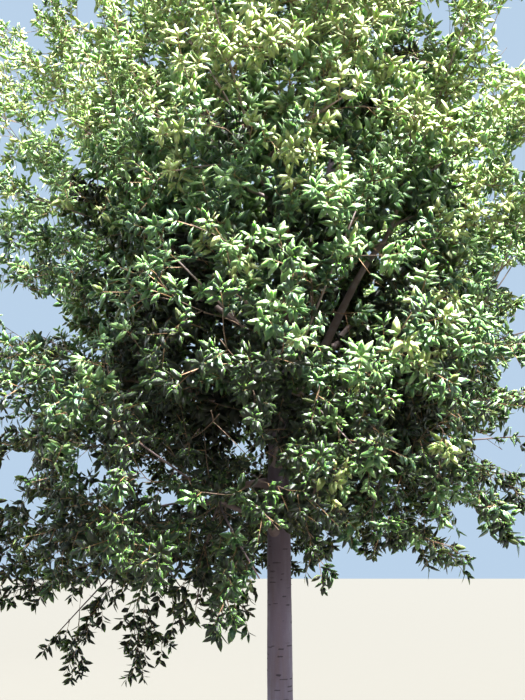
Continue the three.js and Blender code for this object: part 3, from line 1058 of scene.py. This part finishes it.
def limb_finish():
    """Brown bark of the boughs, with grey patches and fine grain, and painted shade low down in the crown."""
    boughs, stem = settings().oak_boughs, settings().oak_stem
    bark = Finish("limb bark")
    patches = bark.step(bark.mottle(PATCHES), *PATCHES.edges)
    grain = bark.mottle(GRAIN)
    low = 1 - bark.step(bark.height(), *LOW_BOUGH_HEIGHTS)
    colour = bark.mix(patches * PATCHES.cover, boughs.bark, boughs.pale_bark)
    colour = bark.mix(bark.step(grain, *GRAIN.edges) * GRAIN.cover, colour, stem.brown_bark)
    colour = bark.mix(low * LOW_BOUGH_COVER, colour, stem.shaded_bark)
    bark.set("Base Color", colour)
    bark.set("Roughness", BOUGH_ROUGHNESS + grain * ROUGHNESS_PLAY)
    bark.set("Normal", bark.bump(grain * GRAIN.bump + patches * PATCHES.bump, BOUGH_BUMP_DEPTH))
    return bark.material


def wood_finish(name, colour, roughness):
    """One even colour, for the many small twigs."""
    finish = Finish(name)
    finish.set("Base Color", colour)
    finish.set("Roughness", roughness)
    return finish.material


def leaf_finish(tint):
    """One even colour, for many small leaves: waxy above, and letting some light through."""
    leaf = settings().oak_leaves
    finish = Finish(f"leaf {tint.name}")
    finish.set("Base Color", getattr(leaf, tint.name))
    finish.set("Roughness", tint.roughness)
    finish.set("Coat Weight", tint.coat)
    finish.set("Coat Roughness", LEAF_COAT_ROUGHNESS)
    finish.set("Subsurface Weight", leaf.translucency)
    finish.set("Subsurface Radius", LEAF_LIGHT_REACH)
    finish.set("Subsurface Scale", leaf.light_depth)
    return finish.material


def about_stem(corners):
    """For each corner of the stem: the middle at its height, its angle round that and its distance."""
    middle = stem_middle(corners[:, 2])
    away = corners - middle
    return middle, np.arctan2(away[:, 1], away[:, 0]), length_of(away[:, :2])


def stem_dashes(corners):
    """How much each corner of the stem belongs to a dark level dash, from 0 to 1."""
    rng = np.random.default_rng(SEED)
    height = corners[:, 2]
    _, angle, radius = about_stem(corners)
    dash = np.zeros(len(corners))
    for _ in range(settings().oak_stem.dashes):
        level = DASH_LOWEST + DASH_RISE * rng.random() ** DASH_CROWDING
        turn = rng.uniform(-math.pi, math.pi)
        half_width = rng.uniform(*DASH_HALF_WIDTHS)
        half_height = rng.uniform(*DASH_HALF_HEIGHTS)
        depth = rng.uniform(*DASH_DEPTHS)
        near = np.abs(height - level) < DASH_REACH * half_height
        beside = (angle[near] - turn + math.pi) % (2 * math.pi) - math.pi
        across = beside * radius[near] / half_width
        down = (height[near] - level) / half_height
        strength = depth * np.clip(DASH_FADE - np.sqrt(across**4 + down**2), 0, 1)
        dash[near] = np.maximum(dash[near], strength)
    return dash


def stem_relief(corners, dash):
    """Moves the corners of the round stem out to its flare, swellings, bough collars and bark."""
    height = corners[:, 2]
    middle, angle, distance = about_stem(corners)
    outward = np.stack((np.cos(angle), np.sin(angle), np.zeros(len(angle))), -1)
    share = distance / stem_radius(height)
    flare = np.exp(-height / FLARE_HEIGHT)
    lobes = 1 + FLARE_LOBE_SHARE * flare * np.cos(FLARE_LOBES * angle)
    radius = stem_radius(height) * (1 + FLARE_SHARE * flare) * lobes
    relief = np.zeros(len(corners))
    for around, upward, size in RELIEF:
        relief += size * noise_at(Vector((*(d * around), h * upward)) for d, h in zip(outward[:, :2], height))
    relief = relief * (radius / settings().oak_stem.radius)
    relief = relief + DASH_LIP * np.sin(dash * math.pi) - DASH_SINK * dash**2
    collar = np.zeros(len(corners))
    for mass in all_masses():
        if mass.tier is not TOP_TIER:
            foot, foot_radius = mass.curve[0], mass.radii[0]
            seat = foot + unit(mass.curve[1] - foot) * stem_radius(foot[2])
            gap = length_of(middle + outward * radius[:, None] - seat)
            swelling = np.exp(-((gap / (STEM_COLLAR_REACH * foot_radius)) ** 2))
            collar = np.maximum(collar, STEM_COLLAR_SHARE * foot_radius * swelling)
    return middle + outward * (share * (radius + (relief + collar)))[:, None]


class OAK_OT_stem(bpy.types.Operator):
    """Model the bare stem with its lean, taper, root flare and bark"""

    bl_idname = "oak.stem"
    bl_label = "Stem"

    def execute(self, context):
        stem = context.scene.oak_stem
        fine = np.arange(0, CROWN_FOOT + FINE_RINGS_PAST, RING_STEP)
        heights = np.concatenate((fine, np.linspace(fine[-1], stem.height, UPPER_RINGS)[1:]))
        deselect_all()
        bpy.ops.mesh.primitive_circle_add(
            vertices=stem.sides, radius=float(stem_radius(0.0)), fill_type="TRIFAN", location=(0, 0, 0)
        )
        piece = context.object
        piece.name = "trunk_bark"
        piece.data.name = "trunk_bark"
        bpy.ops.object.mode_set(mode="EDIT")
        bpy.ops.mesh.select_all(action="SELECT")
        for low, high in zip(heights, heights[1:]):
            middle = stem_middle(high)
            bpy.ops.mesh.extrude_region_move(TRANSFORM_OT_translate={"value": middle - stem_middle(low)})
            ratio = float(stem_radius(high) / stem_radius(low))
            bpy.ops.transform.resize(value=(ratio, ratio, 1), center_override=middle)
        bpy.ops.mesh.select_all(action="SELECT")
        bpy.ops.mesh.normals_make_consistent(inside=False)
        bpy.ops.object.mode_set(mode="OBJECT")
        corners = np.zeros(len(piece.data.vertices) * 3, np.float32)
        piece.data.vertices.foreach_get("co", corners)
        corners = corners.reshape(-1, 3).astype(float)
        dash = stem_dashes(corners)
        piece.data.vertices.foreach_set("co", stem_relief(corners, dash).astype(np.float32).ravel())
        marks = piece.data.attributes.new("dash", "FLOAT", "POINT")
        marks.data.foreach_set("value", dash.astype(np.float32))
        piece.data.materials.append(bark_finish())
        bpy.ops.object.shade_smooth_by_angle(angle=SMOOTH_ANGLE)
        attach(piece, BODY)
        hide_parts("trunk")
        return {"FINISHED"}


def bough_object(mass, sides):
    """One bough as a bevelled curve made a mesh, with a collar where it leaves the stem."""
    boughs = settings().oak_boughs
    deselect_all()
    bpy.ops.curve.primitive_bezier_curve_add(location=(0, 0, 0))
    rod = bpy.context.object
    rod.data.dimensions = "3D"
    rod.data.resolution_u = BOUGH_STEPS
    rod.data.bevel_mode = "ROUND"
    rod.data.bevel_depth = 1.0
    # Its outline has four corners at resolution 0, and two more for each step
    rod.data.bevel_resolution = sides // 2 - 2
    rod.data.use_fill_caps = True
    foot, first, last, end = (Vector(corner) for corner in mass.curve)
    start_point, end_point = rod.data.splines[0].bezier_points
    for point, left, middle, right, radius in (
        (start_point, 2 * foot - first, foot, first, mass.radii[0]),
        (end_point, last, end, 2 * end - last, mass.radii[1]),
    ):
        point.handle_left_type = "FREE"
        point.handle_right_type = "FREE"
        point.co = middle
        point.handle_left = left
        point.handle_right = right
        point.radius = radius
    bpy.ops.object.convert(target="MESH")
    piece = bpy.context.object
    corners = np.array([v.co for v in piece.data.vertices])
    axis = curve_points(mass.curve, BOUGH_AXIS_POINTS)
    middle = axis[length_of(corners[:, None] - axis[None]).argmin(1)]
    way_out = length_of(middle - mass.curve[0]) - stem_radius(mass.curve[0][2])
    collar = boughs.collar * np.exp(-np.maximum(way_out, 0) / boughs.collar_length)
    waves = noise_at(Vector(corner * BOUGH_WAVES_PER_METRE) for corner in corners)
    corners = middle + (corners - middle) * (1 + collar + BOUGH_WAVE_SHARE * waves)[:, None]
    piece.data.vertices.foreach_set("co", corners.astype(np.float32).ravel())
    return piece


class OAK_OT_boughs(bpy.types.Operator):
    """Model the boughs, tier by tier, with collars where they leave the stem"""

    bl_idname = "oak.boughs"
    bl_label = "Boughs"

    def execute(self, context):
        material = limb_finish()
        for tier in TIERS:
            masses = [mass for mass in all_masses() if mass.tier is tier]
            rods = [bough_object(mass, context.scene.oak_boughs.sides) for mass in masses]
            deselect_all()
            for rod in rods:
                rod.select_set(True)
            context.view_layer.objects.active = rods[0]
            bpy.ops.object.join()
            piece = context.object
            piece.name = f"boughs_{tier.name}"
            piece.data.name = piece.name
            piece.data.materials.clear()
            piece.data.materials.append(material)
            bpy.ops.object.mode_set(mode="EDIT")
            bpy.ops.mesh.select_all(action="SELECT")
            bpy.ops.mesh.remove_doubles(threshold=MERGE_DISTANCE)
            bpy.ops.mesh.normals_make_consistent(inside=False)
            bpy.ops.object.mode_set(mode="OBJECT")
            bpy.ops.object.shade_smooth_by_angle(angle=SMOOTH_ANGLE)
            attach(piece, BODY)
            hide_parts(*[f"bough_{mass.name}" for mass in masses])
        return {"FINISHED"}


class OAK_OT_limbs(bpy.types.Operator):
    """Grow the first twigs on from the boughs' tips"""

    bl_idname = "oak.limbs"
    bl_label = "First twigs"

    def execute(self, context):
        material = bpy.data.materials["limb bark"]
        for tier in (*TIERS, TOP_TIER):
            parts = []
            for mass, first, _, _ in grown_crown().values():
                if mass.tier is tier:
                    parts += [(*tubes(twig.points[None], twig.radii[None], FIRST_SIDES), 0) for twig in first]
            corners, triangles, slots = join_arrays(parts)
            piece = array_piece(f"limbs_{tier.name}", corners, triangles, [material], slots)
            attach(piece, BODY)
        return {"FINISHED"}


class OAK_OT_twigs(bpy.types.Operator):
    """Grow the fine twigs and the shoots that carry the leaves"""

    bl_idname = "oak.twigs"
    bl_label = "Twigs and shoots"

    def execute(self, context):
        wood = context.scene.oak_twigs
        materials = [
            wood_finish("twig bark", wood.twig_bark, wood.twig_roughness),
            wood_finish("shoot bark", wood.shoot_bark, wood.shoot_roughness),
        ]
        for tier in (*TIERS, TOP_TIER):
            parts = []
            for mass, _, fine, shoots in grown_crown().values():
                if mass.tier is tier:
                    lines = np.stack([twig.points for twig in fine])
                    radii = np.stack([twig.radii for twig in fine])
                    parts.append((*tubes(lines, radii, FINE_SIDES), 0))
                    lines = np.stack((shoots.feet, shoots.tips), 1)
                    radii = np.broadcast_to((wood.shoot_foot, wood.shoot_tip), lines.shape[:2])
                    parts.append((*tubes(lines, radii, FINE_SIDES), 1))
            corners, triangles, slots = join_arrays(parts)
            piece = array_piece(f"twigs_{tier.name}", corners, triangles, materials, slots)
            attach(piece, BODY)
        return {"FINISHED"}


def leaf_corners(roots, along, facing, lengths, widths):
    """Corners of many leaves, each with its edges raised from its keel."""
    leaf = settings().oak_leaves
    across = np.cross(facing, along)
    rise = np.abs(LEAF_ACROSS) * math.tan(leaf.fold) * widths[:, None] / 2
    corners = roots[:, None] + along[:, None] * (LEAF_ALONG * lengths[:, None])[..., None]
    corners += across[:, None] * (LEAF_ACROSS * widths[:, None] / 2)[..., None]
    return corners + facing[:, None] * rise[..., None]


def spray_leaves(mass, shoots):
    """The leaves of a mass: corners, and for each leaf the slots of its two faces."""
    leaf = settings().oak_leaves
    rng = np.random.default_rng(mass.seed)
    count, each = len(shoots.feet), leaf.per_shoot
    share = np.linspace(0, 1, each)[None] ** LEAF_CROWDING
    share = lerp(FIRST_LEAF_SHARE, 1.0, share) + rng.uniform(-LEAF_PLACE_PLAY, LEAF_PLACE_PLAY, (count, each))
    share = np.clip(share, 0, 1)
    way = unit(shoots.tips - shoots.feet)
    way = np.broadcast_to(way[:, None], (count, each, 3))
    roots = lerp(shoots.feet[:, None], shoots.tips[:, None], share[..., None])
    around = rng.uniform(0, 2 * math.pi, (count, 1)) + GOLDEN_ANGLE * np.arange(each)
    around = around + rng.uniform(-LEAF_TURN_PLAY, LEAF_TURN_PLAY, (count, each))
    spread = lerp(*LEAF_SPREADS, share**2) + rng.uniform(-LEAF_SPREAD_PLAY, LEAF_SPREAD_PLAY, (count, each))
    along = leaned(way, around, np.radians(spread))
    droop = rng.uniform(*LEAF_DROOPS, (count, each)) - mass.tier.lift * LEAF_LIFT
    along = unit(along - UP * droop[..., None])
    shootward, upward, outward = LEAF_FACING
    facing = way * shootward + UP * upward + outward_at(roots) * outward
    facing = facing + rng.normal(0, LEAF_FACING_PLAY, (count, each, 3))
    facing = unit(facing - along * (facing * along).sum(-1)[..., None])
    outside = ramp(crown_depth(shoots.tips), *INNER_DEPTHS)[:, None]
    size = rng.uniform(*SHOOT_LEAF_SIZES, (count, 1)) * rng.uniform(*LEAF_SIZES, (count, each))
    size = size * lerp(*LEAF_SIZES_ALONG, share) * lerp(INNER_LEAF_SIZE, 1.0, outside)
    lengths = leaf.length * size
    widths = leaf.width * size * rng.uniform(*LEAF_WIDTHS, (count, each))
    tops, undersides = spray_tints(shoots.tips, rng)
    flat = [array.reshape(count * each, -1).squeeze() for array in (roots, along, facing, lengths, widths)]
    corners = leaf_corners(*flat)
    ends = corners[:, LEAF_TIP]
    kept = in_space(ends, mass, -LEAF_SPACE_SPARE, -LEAF_SIDE_SPARE) & ~in_places(ends, CROWN_GAPS)
    kept &= in_box(corners).all(1) & ~in_window(ends) & ~in_window(corners[:, LEAF_ROOT])
    kept &= rng.random(len(kept)) < np.repeat(lerp(INNER_LEAF_SHARE, 1.0, outside[:, 0]), each)
    return corners[kept], np.repeat(tops, each)[kept], np.repeat(undersides, each)[kept]


def key_direction():
    """The way from the tree to the key light."""
    stage = settings().oak_stage
    level = math.cos(stage.key_height)
    across, back = level * math.sin(stage.key_turn), -level * math.cos(stage.key_turn)
    return np.array((across, back, math.sin(stage.key_height)))


def spray_tints(tips, rng):
    """The slot of each spray's tint above and below, by the painted light and shade at its shoot's tip."""
    depth = crown_depth(tips)
    outside = ramp(depth, *LIGHT_DEPTHS)
    height = ramp(tips[:, 2], *LIGHT_HEIGHTS)
    # Painted light: sprays that face the key get lighter tints
    sunny = (outward_at(tips) @ key_direction() + 1) / 2
    level = LIGHT_HEIGHT_SHARE * height + (1 - LIGHT_HEIGHT_SHARE) * sunny
    light = lerp(outside, 1.0, HIGH_LIGHT_SHARE * height) * lerp(*LIGHT_RANGE, level)
    light += LIT_SPRAY_LIGHT * (in_front_places(tips, LIT_SPRAYS) & (depth > HOLLOW_DEPTH))
    light -= HOLLOW_SHADE * in_front_places(tips, HOLLOWS)
    light -= BELLY_SHADE * in_front_places(tips, BELLY)
    light -= TOP_SHADE * ramp(tips[:, 2], *TOP_SHADE_HEIGHTS)
    tops = np.digitize(light + rng.normal(0, TINT_PLAY, len(tips)), TOP_LIGHTS)
    undersides = np.digitize(light + rng.normal(0, TINT_PLAY, len(tips)), UNDERSIDE_LIGHTS)
    return tops, undersides + len(TOP_TINTS)


class OAK_OT_leaves(bpy.types.Operator):
    """Grow the leaves, one piece for each foliage mass"""

    bl_idname = "oak.leaves"
    bl_label = "Leaves"

    def execute(self, context):
        materials = [leaf_finish(tint) for tint in TOP_TINTS + UNDERSIDE_TINTS]
        for mass, _, _, shoots in grown_crown().values():
            corners, tops, undersides = spray_leaves(mass, shoots)
            starts = np.arange(len(corners)) * len(LEAF_ALONG)
            triangles = (LEAF_TRIANGLES[None] + starts[:, None, None]).reshape(-1, 3)
            slots = np.repeat(undersides[:, None], len(LEAF_TRIANGLES), 1)
            slots[:, : len(LEAF_TOP)] = tops[:, None]
            corners = corners.reshape(-1, 3)
            piece = array_piece(f"leaves_{mass.name}", corners, triangles, materials, slots.ravel())
            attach(piece, BODY)
            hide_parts(f"foliage_{mass.name}")
        return {"FINISHED"}


def add_light(kind, name, place, power):
    """A light at a place, facing the crown's heart."""
    deselect_all()
    bpy.ops.object.light_add(type=kind, location=place)
    light = bpy.context.object
    light.name = name
    light.data.energy = power
    light.rotation_euler = (Vector(HEART) - Vector(place)).to_track_quat("-Z", "Y").to_euler()
    return light.data


class OAK_OT_stage(bpy.types.Operator):
    """Set up the pale floor, the soft light and the camera"""

    bl_idname = "oak.stage"
    bl_label = "Stage"

    def execute(self, context):
        stage = context.scene.oak_stage
        deselect_all()
        bpy.ops.mesh.primitive_plane_add(size=stage.floor_size, location=(0, 0, 0))
        floor = context.object
        floor.name = "floor"
        finish = Finish("floor")
        patches = finish.mottle(FLOOR_PATCHES) * FLOOR_PATCHES.cover
        finish.set("Base Color", finish.mix(patches, stage.floor, stage.floor_patches))
        finish.set("Roughness", FLOOR_ROUGHNESS)
        floor.data.materials.append(finish.material)

        world = bpy.data.worlds.new("soft sky")
        world.use_nodes = True
        nodes = world.node_tree.nodes
        backdrop = nodes.new("ShaderNodeBackground")
        strengths = (stage.sky_strength, stage.backdrop_strength)
        for background, strength in zip((nodes["Background"], backdrop), strengths):
            background.inputs["Color"].default_value = (*stage.sky, 1)
            background.inputs["Strength"].default_value = strength
        choice = nodes.new("ShaderNodeMixShader")
        links = world.node_tree.links
        links.new(nodes.new("ShaderNodeLightPath").outputs["Is Camera Ray"], choice.inputs["Fac"])
        links.new(nodes["Background"].outputs["Background"], choice.inputs[1])
        links.new(backdrop.outputs["Background"], choice.inputs[2])
        links.new(choice.outputs["Shader"], nodes["World Output"].inputs["Surface"])
        context.scene.world = world

        key = add_light("SUN", "key", HEART + LIGHT_DISTANCE * key_direction(), stage.key_strength)
        key.angle = stage.key_softness
        rim = add_light("AREA", "rim", RIM_PLACE, stage.rim_strength)
        rim.size = RIM_SIZE

        camera_data = bpy.data.cameras.new("camera")
        camera_data.sensor_width = SENSOR_WIDTH
        camera_data.lens = stage.focal_pixels * SENSOR_WIDTH / PHOTO_SIZE[1]
        camera = bpy.data.objects.new("camera", camera_data)
        camera.location = stage.camera_place
        camera.rotation_euler = (math.pi / 2 + stage.camera_pitch, 0, 0)
        context.scene.collection.objects.link(camera)
        context.scene.camera = camera
        context.scene.view_settings.view_transform = "Standard"
        return {"FINISHED"}


class OAK_PT_panel(bpy.types.Panel):
    """The oak's pieces, in the order in which they are made"""

    bl_idname = "OAK_PT_panel"
    bl_label = "Evergreen oak"
    bl_space_type = "VIEW_3D"
    bl_region_type = "UI"
    bl_category = "Oak"

    def draw(self, context):
        for operator in OPERATORS:
            self.layout.operator(operator.bl_idname)
        for name, kind in SETTINGS.items():
            box = self.layout.box()
            for value in kind.__annotations__:
                box.prop(getattr(context.scene, name), value)


OPERATORS = (OAK_OT_stem, OAK_OT_boughs, OAK_OT_limbs, OAK_OT_twigs, OAK_OT_leaves, OAK_OT_stage)
SETTINGS = {
    "oak_stem": OakStemSettings,
    "oak_boughs": OakBoughSettings,
    "oak_twigs": OakTwigSettings,
    "oak_leaves": OakLeafSettings,
    "oak_stage": OakStageSettings,
}
CLASSES = (*SETTINGS.values(), *OPERATORS, OAK_PT_panel)


def register():
    for kind in CLASSES:
        bpy.utils.register_class(kind)
    for name, kind in SETTINGS.items():
        setattr(bpy.types.Scene, name, bpy.props.PointerProperty(type=kind))


def unregister():
    for name in SETTINGS:
        delattr(bpy.types.Scene, name)
    for kind in reversed(CLASSES):
        bpy.utils.unregister_class(kind)


def main():
    register()
    bpy.ops.oak.stem()
    bpy.ops.oak.boughs()
    bpy.ops.oak.limbs()
    bpy.ops.oak.twigs()
    bpy.ops.oak.leaves()
    bpy.ops.oak.stage()


if __name__ == "__main__":
    main()
